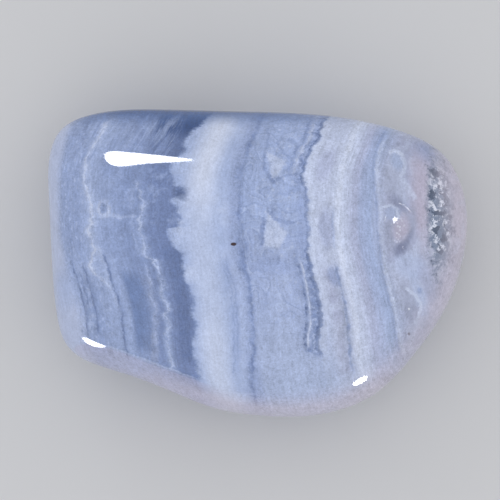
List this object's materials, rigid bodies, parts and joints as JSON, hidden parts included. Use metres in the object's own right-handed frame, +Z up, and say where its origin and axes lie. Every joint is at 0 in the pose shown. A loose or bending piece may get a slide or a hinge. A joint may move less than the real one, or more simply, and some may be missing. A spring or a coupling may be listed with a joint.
{
  "type": "tumbled chalcedony pebble",
  "caption": "Polished tumbled pebble of banded blue chalcedony, pillow-shaped, lying on a small worn flat spot.",
  "frame": {"origin": "on the surface the pebble rests on, under the middle of its outline", "axes": "+X along the pebble, from its squarer end to its round end; +Y across it; +Z up, through its thickness"},
  "size_m": [0.028, 0.0206, 0.0115],
  "materials": {
    "polished_chalcedony": "tumbled to a glassy polish, milky, banded in slate blue, lavender and white"
  },
  "bodies": {
    "root": {"chalcedony_pebble": "polished_chalcedony"}
  },
  "joints": []
}
